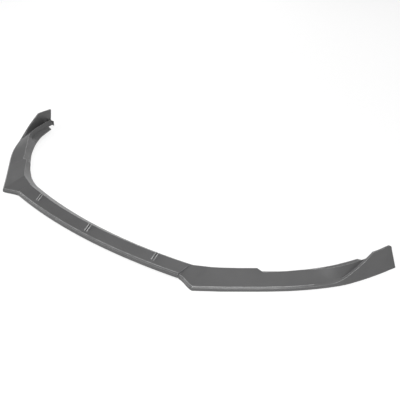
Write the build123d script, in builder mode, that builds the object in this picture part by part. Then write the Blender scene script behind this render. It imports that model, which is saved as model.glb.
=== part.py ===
"""Front splitter lip: one thin-walled moulding, mirrored about the car's centre plane.

Millimetres. X runs across the car, the front points along -Y, Z is up. The origin lies below the
middle of the part, and the lowest edge is on Z = 0.
"""
import os
from math import hypot

from build123d import *

# Moulding wall, and the slight hollow of its faces
WALL = 3.0
HOLLOW = 0.6
BLADE_HOLLOW_AT = 0.25
FLANGE_HOLLOW_AT = 0.45

# Front edge: an upright face, then a bevel
EDGE_HEIGHT = 15.0
CREASE_IN = 0.6
BEVEL_IN = 5.0
BEVEL_UP = 5.0

# Centre blade: a bowed strip that rises to a ridge and falls to an inner edge
CENTRE_HALF = 420.0
CENTRE_FOOT_Z = 8.0
CENTRE_EDGE_HEIGHT = 18.0
FRONT_BOW = 40.0
RIDGE_BACK = 53.5
RIDGE_BOW = 47.0
RIDGE_Z = 34.0
RIDGE_DROP = 2.0
INNER_BACK = 93.0
INNER_BOW = 40.0
INNER_Z = 5.0
INNER_RISE = 4.5

# Tip block: stands back from the centre blade at the step, then swings forward in an S to the tip
STEP_BACK = 3.0
STEP_INSET = 1.0
STEP_FOOT_Z = 4.0
TIP_RUN = 76.5
TIP_BACK = 24.0
TIP_FOOT_Z = 3.0
CORNER_RIDGE_IN = 10.5
CORNER_RIDGE_BACK = 99.5
CORNER_RIDGE_Z = 40.0
CORNER_INNER_IN = 13.5
CORNER_INNER_BACK = 130.5
CORNER_INNER_Z = 18.0
CORNER_BULGE = 2.2

# Side edge in plan: straight, shoulder arc, arch arc and tail arc, and its length up to the rear
SIDE_HEADING = 41.9
SIDE_STRAIGHT = 272.0
SHOULDER_RADIUS = 690.0
SHOULDER_TURN = 16.5
ARCH_RADIUS = 260.0
ARCH_TURN = 8.5
TAIL_RADIUS = 967.0
TAIL_TURN = 10.0
SIDE_LENGTH = 697.5

# Side stations before and behind the notch: distance along the edge, foot height,
# ridge offset and height, inner offset and height
SIDE_FRONT = [(92, 0, 78.5, 39.7, 103.2, 18.5), (150, 0, 77.5, 39, 94.7, 19),
              (208, 0.3, 77.5, 39.3, 90.9, 19)]
SIDE_REAR = [(226, 0.7, 63, 33.4, 89.5, 19), (300, 2.5, 63, 36.7, 88, 19.5),
             (364, 4, 60.5, 41.5, 88.3, 22)]

# End stations: the same, then the share of the rib's fold, and what the fin adds to the edge's
# height, lean and thickness
SIDE_END = [(428, 4, 52, 43.4, 87.7, 24.2, 0.1, 0.5, 0.1, 0.6),
            (460, 4, 46.5, 46.3, 87.3, 25.3, 0.7, 1.5, 0.6, 1.6),
            (492, 4, 44.2, 47.3, 87, 26, 1, 11, 2.2, 3.6),
            (556, 4, 44, 47.5, 85, 26, 1, 43.5, 6.6, 3.6),
            (620, 4, 47.5, 47, 83, 26, 1, 77, 16.1, 0.6),
            (748, 4, 59.5, 47, 83, 26, 1, 95, 38.4, 0.6)]
STATION_STEP = 32.0

# Groove between the fin and the rib, and the fold down from the rib to the flange
GROOVE_Z = 24.0
GROOVE_RUN = 6.0
FOLD_RUN = 7.0
FOLD_RISE = 1.0
FIN_BEVEL_LOSS = 3.5

# Fin trimmed to its top line, which falls from a kink, and to its leaning rear edge
FIN_KINK_AHEAD = 91.9
FIN_KINK_Z = 87.6
FIN_REAR_LEAN = 4.8
FIN_REAR_Z = 80.8
FIN_CORNER_RADIUS = 6.0

# Rear ends of the flange, the rib and the groove's floor: how far ahead of the rear edge they stop,
# and the offsets and heights that leave the fin whole
FLANGE_AHEAD = 79.5
FLANGE_OFFSET = 56.0
FLANGE_SLANT = 57.0
FLANGE_REACH = 74.0
RIB_AHEAD = 48.5
RIB_OFFSET = 24.0
RIB_CUT_Z = 52.0
FLOOR_OFFSET = 18.4
FLOOR_CUT_Z = 30.0

# Upright fixing tab behind the rib, ahead of the rear edge and in from the foot of the fin
TAB_AHEAD = 18.5
TAB_OFFSET = 12.5
TAB_WIDTH = 43.0
TAB_Z = 14.0
TAB_HEIGHT = 21.0

# Pairs of locating wedges on the centre blade
WEDGE_PITCH = 304.0
WEDGE_LENGTH = 38.0
WEDGE_PEAK_AHEAD = 12.0
WEDGE_RISE = 12.0
WEDGE_RIB = 4.0
WEDGE_GAP = 7.0


def between(a, b, k):
    """Point, or row of values, a fraction k of the way from a to b."""
    return tuple(p + (q - p) * k for p, q in zip(a, b))


def inset(chain, amount):
    """Offset an open chain of 2-D points to its right, with mitred corners."""
    normals = []
    for (x0, y0), (x1, y1) in zip(chain, chain[1:]):
        length = hypot(x1 - x0, y1 - y0)
        normals.append(((y1 - y0) / length, (x0 - x1) / length))
    moved = []
    for (x, y), (ax, ay), (bx, by) in zip(chain, normals[:1] + normals, normals + normals[-1:]):
        scale = amount / (1 + ax * bx + ay * by)
        moved.append((x + scale * (ax + bx), y + scale * (ay + by)))
    return moved


def section(front, ridge, inner, height=EDGE_HEIGHT, fold=0.0, lean=0.0, thicken=0.0):
    """Closed wall section in the upright plane through a front point and a ridge point."""
    run = hypot(ridge[0] - front[0], ridge[1] - front[1])
    inward = Vector((ridge[0] - front[0]) / run, (ridge[1] - front[1]) / run, 0)
    plane = Plane((front[0], front[1], 0), x_dir=inward, z_dir=inward.cross(Vector(0, 0, 1)))

    foot, top = (0.0, front[2]), (run, ridge[2])
    back = (hypot(inner[0] - front[0], inner[1] - front[1]), inner[2])
    edge_z = front[2] + height
    crease = (CREASE_IN + lean, edge_z - BEVEL_UP + fold * FIN_BEVEL_LOSS)
    bevel = (BEVEL_IN + lean + thicken, edge_z)

    # The wall turns inwards at the heel, which is below the bevel, or at the groove under a fin
    heel_z = min(edge_z - BEVEL_UP / 2, GROOVE_Z)
    heel = (crease[0] * (heel_z - front[2]) / height, heel_z)
    groove_x = heel[0] + bevel[0] - crease[0] + GROOVE_RUN
    flat_x, flat_z = between(bevel, top, BLADE_HOLLOW_AT)
    groove = between((flat_x, flat_z - HOLLOW), (groove_x, GROOVE_Z), fold)
    fall_x, fall_z = between(top, back, FLANGE_HOLLOW_AT)
    bend = between((fall_x, fall_z - HOLLOW), (run + FOLD_RUN, inner[2] + FOLD_RISE), fold)

    under = [(WALL, front[2])] + inset([foot, heel, groove, top, bend, back], WALL)[1:]
    with BuildLine(plane) as outline:
        Polyline(foot, crease, bevel, groove, top, bend, back, *reversed(under), close=True)
    return Face(outline.wire())


# Side edge from the tip, placed so that the origin is midway between the front and the rear
with BuildLine() as side_line:
    straight = PolarLine((0, 0), SIDE_STRAIGHT, SIDE_HEADING)
    shoulder = JernArc(straight @ 1, straight % 1, SHOULDER_RADIUS, SHOULDER_TURN)
    arch = JernArc(shoulder @ 1, shoulder % 1, ARCH_RADIUS, ARCH_TURN)
    tail = JernArc(arch @ 1, arch % 1, TAIL_RADIUS, TAIL_TURN)
    PolarLine(tail @ 1, SIDE_STRAIGHT, direction=tail % 1)
rear_run = side_line.wire().position_at(SIDE_LENGTH, PositionMode.LENGTH).Y
front_y = -(TIP_BACK + rear_run) / 2
rear_y = -front_y
tip = (CENTRE_HALF + TIP_RUN, front_y + TIP_BACK, TIP_FOOT_Z)
side_edge = side_line.wire().moved(Location((tip[0], tip[1], 0)))

# Points where the ridge and the inner edge turn the corner at the tip
corner_ridge = (tip[0] - CORNER_RIDGE_IN, tip[1] + CORNER_RIDGE_BACK, CORNER_RIDGE_Z)
corner_inner = (tip[0] - CORNER_INNER_IN, tip[1] + CORNER_INNER_BACK, CORNER_INNER_Z)


def centre_points(x):
    """Front, ridge and inner points of the centre blade, whose lines fall back towards its ends."""
    share = (x / CENTRE_HALF) ** 2
    return ((x, front_y + FRONT_BOW * share, CENTRE_FOOT_Z),
            (x, front_y + RIDGE_BACK + RIDGE_BOW * share, RIDGE_Z - RIDGE_DROP * share),
            (x, front_y + INNER_BACK + INNER_BOW * share, INNER_Z + INNER_RISE * share))


def step_points():
    """Front, ridge and inner points of the tip block at the step, just inside the centre blade."""
    front, ridge, inner = centre_points(CENTRE_HALF)
    return ((front[0], front[1] + STEP_BACK, STEP_FOOT_Z), (*ridge[:2], ridge[2] - STEP_INSET),
            (inner[0], inner[1] - STEP_INSET, inner[2] + STEP_INSET))


def tip_section(k):
    """Section of the tip block, from the step (0) to the mitre (1)."""
    front, ridge, inner = step_points()
    x, _, z = between(front, tip, k)
    swing = k * k * (3 - 2 * k)
    inner_x, inner_y, inner_z = between(inner, corner_inner, k)
    bulge = CORNER_BULGE * 4 * k * (1 - k)
    return section((x, between(front, tip, swing)[1], z), between(ridge, corner_ridge, k),
                   (inner_x, inner_y - bulge, inner_z))


def beside(distance, offset, z=0.0):
    """Point at a distance along the side edge, offset inwards."""
    point = side_edge.position_at(distance, PositionMode.LENGTH)
    along = side_edge.tangent_at(distance, PositionMode.LENGTH)
    return point.X - along.Y * offset, point.Y + along.X * offset, z


def side_points(distance, foot_z, ridge, ridge_z, inner, inner_z):
    """Front, ridge and inner points of a side station."""
    return beside(distance, 0, foot_z), beside(distance, ridge, ridge_z), beside(distance, inner, inner_z)


def nose_section(k):
    """Section fanned between the mitre at the tip (0) and the first side station (1)."""
    front, ridge, inner = side_points(*SIDE_FRONT[0])
    x, y, _ = beside(SIDE_FRONT[0][0] * k, 0)
    return section((x, y, between(tip, front, k)[2]), between(corner_ridge, ridge, k),
                   between(corner_inner, inner, k))


def side_sweep(rows, last):
    """Sweep through the side stations up to a distance, resampled at an even step along the side edge."""
    rows = [row + (0,) * (len(SIDE_END[0]) - len(row)) for row in rows]
    first = rows[0][0]
    count = max(1, round((last - first) / STATION_STEP))
    sections = []
    for i in range(count + 1):
        at = first + (last - first) * i / count
        a, b = next((pair for pair in zip(rows, rows[1:]) if at <= pair[1][0]), rows[-2:])
        row = between(a, b, (at - a[0]) / (b[0] - a[0]))
        fold, rise, lean, thicken = row[6:]
        sections.append(section(*side_points(*row[:6]), EDGE_HEIGHT + rise, fold, lean, thicken))
    path = side_edge.trim(first / side_edge.length, last / side_edge.length)
    sweep(sections, path=path, multisection=True)


with BuildPart() as lip:
    # Right tip block, then the side blade round the nose, down the notch and on past the rear edge
    loft([tip_section(k / 5) for k in range(6)])
    loft([nose_section(k / 2) for k in range(3)])
    side_sweep(SIDE_FRONT, SIDE_FRONT[-1][0])
    side_sweep([SIDE_FRONT[-1], SIDE_REAR[0]], SIDE_REAR[0][0])
    swept_end = SIDE_LENGTH + EDGE_HEIGHT
    side_sweep(SIDE_REAR + SIDE_END, swept_end)

    # Fin trimmed to its top line, drawn on past the kink, and to its rear edge
    with BuildSketch(Plane.YZ):
        rear_top = (rear_y - FIN_REAR_LEAN, FIN_REAR_Z)
        ahead = between(rear_top, (rear_y - FIN_KINK_AHEAD, FIN_KINK_Z), 2)
        beyond = rear_y + SIDE_LENGTH
        with BuildLine():
            FilletPolyline(ahead, rear_top, (rear_y, SIDE_END[-1][1]), (rear_y, -beyond), (beyond, -beyond),
                           (beyond, beyond), (ahead[0], beyond), radius=FIN_CORNER_RADIUS, close=True)
        make_face()
    extrude(amount=tip[0] + SIDE_LENGTH, mode=Mode.SUBTRACT)

    # Flange stopped first, then the rib and the groove's floor, so that only the fin reaches the rear edge
    flange_end, rib_end = SIDE_LENGTH - FLANGE_AHEAD, SIDE_LENGTH - RIB_AHEAD
    reach = FLANGE_OFFSET + FLANGE_REACH
    for offset, height in ((FLOOR_OFFSET, FLOOR_CUT_Z), (RIB_OFFSET, RIB_CUT_Z)):
        with BuildSketch():
            with BuildLine():
                Polyline(beside(flange_end, FLANGE_OFFSET), beside(rib_end, FLANGE_OFFSET),
                         beside(rib_end, offset), beside(swept_end, offset),
                         beside(swept_end, reach), beside(flange_end - FLANGE_SLANT, reach), close=True)
            make_face()
        extrude(amount=height, mode=Mode.SUBTRACT)

    # Fixing tab, square to the car and rooted in the fin, with the fin cut back behind it as a clear seat
    with BuildSketch(Plane.XZ.offset(TAB_AHEAD - rear_y)) as tab:
        with Locations((beside(SIDE_LENGTH - TAB_AHEAD, 0)[0] - TAB_OFFSET, TAB_Z)):
            Rectangle(TAB_WIDTH, TAB_HEIGHT, align=(Align.MAX, Align.MIN))
    extrude(amount=WALL)
    extrude(tab.sketch, amount=-2 * TAB_AHEAD, mode=Mode.SUBTRACT)

    # Web that closes the step between the centre blade and the tip block, rooted in the middle of the walls
    with BuildSketch(Plane.YZ.offset(CENTRE_HALF - WALL)):
        (_, y, z), (_, ridge_y, ridge_z), _ = centre_points(CENTRE_HALF)
        (_, step_y, _), (_, _, step_z), _ = step_points()
        edge_y, edge_z = y + WALL / 2, z + CENTRE_EDGE_HEIGHT
        with BuildLine():
            Polyline((edge_y, z), (edge_y + CREASE_IN, edge_z - BEVEL_UP),
                     (edge_y + BEVEL_IN, edge_z - WALL / 2), (ridge_y - WALL, ridge_z - WALL / 2),
                     (ridge_y - WALL, step_z - 2 * WALL), (step_y + 2 * WALL, z), close=True)
        make_face()
    extrude(amount=WALL)

    mirror(about=Plane.YZ)

    # Centre blade
    loft([section(*centre_points(CENTRE_HALF * k / 3), CENTRE_EDGE_HEIGHT) for k in range(-3, 4)])

    # Pairs of wedges, rooted in the wall of the centre blade
    for x in (-WEDGE_PITCH, 0, WEDGE_PITCH):
        (_, y, z), (_, *ridge), _ = centre_points(x)
        edge = (y + BEVEL_IN, z + CENTRE_EDGE_HEIGHT)
        toe_y, toe_z = between(ridge, edge, WEDGE_LENGTH / (ridge[0] - edge[0]))
        for side in (-1, 1):
            with BuildSketch(Plane.YZ.offset(x + side * (WEDGE_GAP + WEDGE_RIB) / 2)):
                with BuildLine():
                    Polyline((toe_y, toe_z - WALL / 2),
                             (ridge[0] - WEDGE_PEAK_AHEAD, ridge[1] + WEDGE_RISE),
                             (ridge[0], ridge[1] - WALL / 2), close=True)
                make_face()
            extrude(amount=WEDGE_RIB / 2, both=True)

os.makedirs("parts", exist_ok=True)
export_step(lip.part, "parts/splitter_lip.step")
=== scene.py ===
"""Front splitter lip in a white studio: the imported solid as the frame, dressed as a matt grey moulding."""
from math import cos, radians, sin

import bmesh
import bpy
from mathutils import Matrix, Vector


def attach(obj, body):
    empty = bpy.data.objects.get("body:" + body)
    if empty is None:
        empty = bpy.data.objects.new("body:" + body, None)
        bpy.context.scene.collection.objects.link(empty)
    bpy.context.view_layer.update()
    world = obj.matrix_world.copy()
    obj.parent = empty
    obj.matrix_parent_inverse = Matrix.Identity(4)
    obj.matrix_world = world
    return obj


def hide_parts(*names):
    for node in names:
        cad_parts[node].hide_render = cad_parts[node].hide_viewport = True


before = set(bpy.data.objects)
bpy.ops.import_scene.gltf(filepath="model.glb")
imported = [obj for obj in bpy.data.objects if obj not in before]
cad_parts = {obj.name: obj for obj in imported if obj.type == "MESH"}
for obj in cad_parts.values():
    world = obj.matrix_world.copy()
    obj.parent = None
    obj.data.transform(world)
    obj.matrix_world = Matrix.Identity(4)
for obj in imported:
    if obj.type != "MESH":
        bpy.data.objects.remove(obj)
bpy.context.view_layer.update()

# Camera of the photograph: place in metres, angles in degrees, lens and film in millimetres
CAMERA_AT = (1.9424, -1.8108, 1.4676)
CAMERA_TILT = 61.70
CAMERA_TURN = 42.32
CAMERA_LENS = 73.5
CAMERA_FILM = 36.0

# Edges of the moulding: rims are rounded where they have room, and shallower folds stay crisp
SEAM = 0.00002
FOLD_ANGLE = 14.0
RIM_ANGLE = 24.0
EDGE_RADIUS = 0.0009
EDGE_STEPS = 3
EDGE_ROOM = 2.0

# Painted highlight: rounded faces that look up, and the tops of the locating wedges' upright ribs, get a
# paler plastic
HIGHLIGHT_FACING_UP = 0.5
WEDGE_PLACES = (-0.304, 0.0, 0.304)
RIB_OFFSET = 0.0055
RIB_HALF = 0.0022
RIB_TOP = 0.3

# Matt grey plastic, and the paler plastic painted on as highlight along rims and rib tops: dark tone, pale
# tone, scale of the patches
PLASTIC = ((0.095, 0.095, 0.096, 1.0), (0.110, 0.110, 0.111, 1.0), 9.0)
PAINTED_HIGHLIGHT = ((0.160, 0.160, 0.161, 1.0), (0.340, 0.340, 0.342, 1.0), 45.0)
HIGHLIGHT_INDEX = 1
PATCH_DETAIL = 4.0
PATCH_DARK = 0.3
PATCH_PALE = 0.7

# Grain of the mould, and the gloss that varies with it
GRAIN_SCALE = 900.0
GRAIN_DETAIL = 2.0
GRAIN_STRENGTH = 0.1
GRAIN_DEPTH = 0.0002
ROUGHNESS_LOW = 0.38
ROUGHNESS_HIGH = 0.46

# Studio: a round pale floor with a low wall, a weak even light, and soft lamps in a ring
WHITE = (1.0, 1.0, 1.0, 1.0)
FLOOR_RADIUS = 9.0
FLOOR_SIDES = 96
WALL_HEIGHT = 1.2
FLOOR_TONE = 0.2
FLOOR_ROUGHNESS = 0.9
FLOOR_WHITE = 0.84
AMBIENT = 0.04
LAMP_DISTANCE = 3.5
LAMPS = [
    # name, azimuth, elevation, size, watts
    ("key_by_camera", 42.0, 42.0, 1.6, 44.0),
    ("low_by_camera", 46.0, 10.0, 1.6, 46.0),
    ("high_front", 45.0, 64.0, 1.2, 54.0),
    ("front_left", -54.0, 40.0, 1.0, 29.0),
    ("low_left", -80.0, 12.0, 1.6, 32.0),
    ("low_back_left", -135.0, 12.0, 1.6, 12.0),
    ("high_back", -158.0, 40.0, 1.6, 16.0),
]


def add_to_scene(name, data):
    """New object in the scene, from a mesh, a lamp or a camera."""
    thing = bpy.data.objects.new(name, data)
    bpy.context.scene.collection.objects.link(thing)
    return thing


def piece_from(form, name):
    """New piece from a finished form."""
    mesh = bpy.data.meshes.new(name)
    form.to_mesh(mesh)
    form.free()
    return add_to_scene(name, mesh)


def has_room(edge):
    """True where an edge is long enough for the radius, and each triangle beside it is high enough."""
    length, least = edge.calc_length(), EDGE_ROOM * EDGE_RADIUS
    return length > least and all(2.0 * face.calc_area() / length > least for face in edge.link_faces)


def round_rims(form):
    """Round the outside edges that have room, keep the other folds crisp, and return the rounded faces."""
    rims = []
    for edge in form.edges:
        turn = edge.calc_face_angle(0.0)
        if turn > radians(RIM_ANGLE) and edge.is_convex and has_room(edge):
            rims.append(edge)
        elif turn > radians(FOLD_ANGLE):
            edge.smooth = False
    rounded = bmesh.ops.bevel(form, geom=rims, offset=EDGE_RADIUS, offset_type="OFFSET", affect="EDGES",
                              segments=EDGE_STEPS, profile=0.5, material=-1, clamp_overlap=False)
    form.normal_update()
    return rounded["faces"]


def is_rib_top(face):
    """True for a face that looks up and lies within one upright rib of a locating wedge."""
    ribs = [wedge + side for wedge in WEDGE_PLACES for side in (-RIB_OFFSET, RIB_OFFSET)]
    return face.normal.z > RIB_TOP and any(
        all(abs(corner.co.x - rib) < RIB_HALF for corner in face.verts) for rib in ribs)


def moulded_shell(node):
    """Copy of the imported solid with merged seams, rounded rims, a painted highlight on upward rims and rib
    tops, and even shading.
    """
    form = bmesh.new()
    form.from_mesh(node.data)
    bmesh.ops.remove_doubles(form, verts=form.verts, dist=SEAM)
    for face in form.faces:
        face.smooth = True
    # Painted highlight: rounded faces that look up, and the wedge rib tops, get the paler plastic
    highlighted = [face for face in round_rims(form) if face.normal.z > HIGHLIGHT_FACING_UP]
    highlighted += [face for face in form.faces if is_rib_top(face)]
    for face in highlighted:
        face.material_index = HIGHLIGHT_INDEX
    piece = piece_from(form, "lip_shell")
    even = piece.modifiers.new("even_faces", "WEIGHTED_NORMAL")
    even.keep_sharp = True
    return piece


def new_material(name):
    """New material, with its node tree and its surface shader."""
    material = bpy.data.materials.new(name)
    material.use_nodes = True
    tree = material.node_tree
    return material, tree, tree.nodes["Principled BSDF"]


def noise(tree, place, scale, detail):
    """Noise on the piece's own coordinates."""
    pattern = tree.nodes.new("ShaderNodeTexNoise")
    pattern.inputs["Scale"].default_value = scale
    pattern.inputs["Detail"].default_value = detail
    tree.links.new(place.outputs["Object"], pattern.inputs["Vector"])
    return pattern.outputs["Fac"]


def moulded_plastic(name, dark, pale, patches):
    """Unpainted grey plastic with soft patches of tone and the fine grain of its mould; in its paler tones
    it serves as the painted edge highlight.
    """
    material, tree, surface = new_material(name)
    place = tree.nodes.new("ShaderNodeTexCoord")

    tone = noise(tree, place, patches, PATCH_DETAIL)
    shades = tree.nodes.new("ShaderNodeValToRGB")
    stops = ((PATCH_DARK, dark), (PATCH_PALE, pale))
    for stop, (position, color) in zip(shades.color_ramp.elements, stops):
        stop.position = position
        stop.color = color
    tree.links.new(tone, shades.inputs["Fac"])
    tree.links.new(shades.outputs["Color"], surface.inputs["Base Color"])

    grain = noise(tree, place, GRAIN_SCALE, GRAIN_DETAIL)
    relief = tree.nodes.new("ShaderNodeBump")
    relief.inputs["Strength"].default_value = GRAIN_STRENGTH
    relief.inputs["Distance"].default_value = GRAIN_DEPTH
    tree.links.new(grain, relief.inputs["Height"])
    tree.links.new(relief.outputs["Normal"], surface.inputs["Normal"])

    gloss = tree.nodes.new("ShaderNodeMapRange")
    gloss.inputs["To Min"].default_value = ROUGHNESS_LOW
    gloss.inputs["To Max"].default_value = ROUGHNESS_HIGH
    tree.links.new(grain, gloss.inputs["Value"])
    tree.links.new(gloss.outputs["Result"], surface.inputs["Roughness"])
    return material


def white_where_seen(tree, strength):
    """Strength of a white that the camera and reflections see, and that sheds no other light."""
    path = tree.nodes.new("ShaderNodeLightPath")
    total = path.outputs["Is Camera Ray"]
    for kind in ("Is Glossy Ray", "Is Transmission Ray"):
        either = tree.nodes.new("ShaderNodeMath")
        either.operation = "MAXIMUM"
        tree.links.new(total, either.inputs[0])
        tree.links.new(path.outputs[kind], either.inputs[1])
        total = either.outputs["Value"]
    seen = tree.nodes.new("ShaderNodeMapRange")
    seen.inputs["To Max"].default_value = strength
    tree.links.new(total, seen.inputs["Value"])
    return seen.outputs["Result"]


def pale_floor():
    """Round studio floor with a low wall, white to the camera, that keeps the lip's soft shadow."""
    disc = bmesh.new()
    bmesh.ops.create_circle(disc, cap_ends=True, radius=FLOOR_RADIUS, segments=FLOOR_SIDES)
    rim = [edge for edge in disc.edges if edge.is_boundary]
    raised = bmesh.ops.extrude_edge_only(disc, edges=rim)["geom"]
    top = [corner for corner in raised if isinstance(corner, bmesh.types.BMVert)]
    bmesh.ops.translate(disc, vec=(0.0, 0.0, WALL_HEIGHT), verts=top)
    floor = piece_from(disc, "floor")

    material, tree, surface = new_material("pale_floor")
    surface.inputs["Base Color"].default_value = (FLOOR_TONE, FLOOR_TONE, FLOOR_TONE, 1.0)
    surface.inputs["Roughness"].default_value = FLOOR_ROUGHNESS
    surface.inputs["Emission Color"].default_value = WHITE
    tree.links.new(white_where_seen(tree, FLOOR_WHITE), surface.inputs["Emission Strength"])
    floor.data.materials.append(material)


def even_world():
    """Weak even light from all round."""
    world = bpy.data.worlds.new("studio")
    world.use_nodes = True
    background = world.node_tree.nodes["Background"]
    background.inputs["Strength"].default_value = AMBIENT
    background.inputs["Color"].default_value = WHITE
    bpy.context.scene.world = world


def soft_lamps():
    """Round soft lamps, all at one distance and turned to the lip."""
    for name, azimuth, elevation, size, watts in LAMPS:
        light = bpy.data.lights.new(name, "AREA")
        light.shape = "DISK"
        light.size = size
        light.energy = watts
        lamp = add_to_scene(name, light)
        turn, rise = radians(azimuth), radians(elevation)
        lamp.location = LAMP_DISTANCE * Vector((sin(turn) * cos(rise), -cos(turn) * cos(rise), sin(rise)))
        lamp.rotation_euler = (-lamp.location).to_track_quat("-Z", "Y").to_euler()


def photo_camera():
    """Camera at the photograph's viewing angle."""
    optics = bpy.data.cameras.new("photo_camera")
    optics.lens = CAMERA_LENS
    optics.sensor_width = CAMERA_FILM
    camera = add_to_scene("photo_camera", optics)
    camera.location = CAMERA_AT
    camera.rotation_euler = (radians(CAMERA_TILT), 0.0, radians(CAMERA_TURN))
    bpy.context.scene.camera = camera


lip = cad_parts["splitter_lip"]
shell = moulded_shell(lip)
shell.data.materials.append(moulded_plastic("moulded_plastic", *PLASTIC))
# The second material is the paler plastic painted on as a highlight along upward rims and rib tops
shell.data.materials.append(moulded_plastic("painted_edge_highlight", *PAINTED_HIGHLIGHT))
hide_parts("splitter_lip")
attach(shell, "root")

pale_floor()
even_world()
soft_lamps()
photo_camera()
bpy.context.scene.view_settings.view_transform = "Standard"
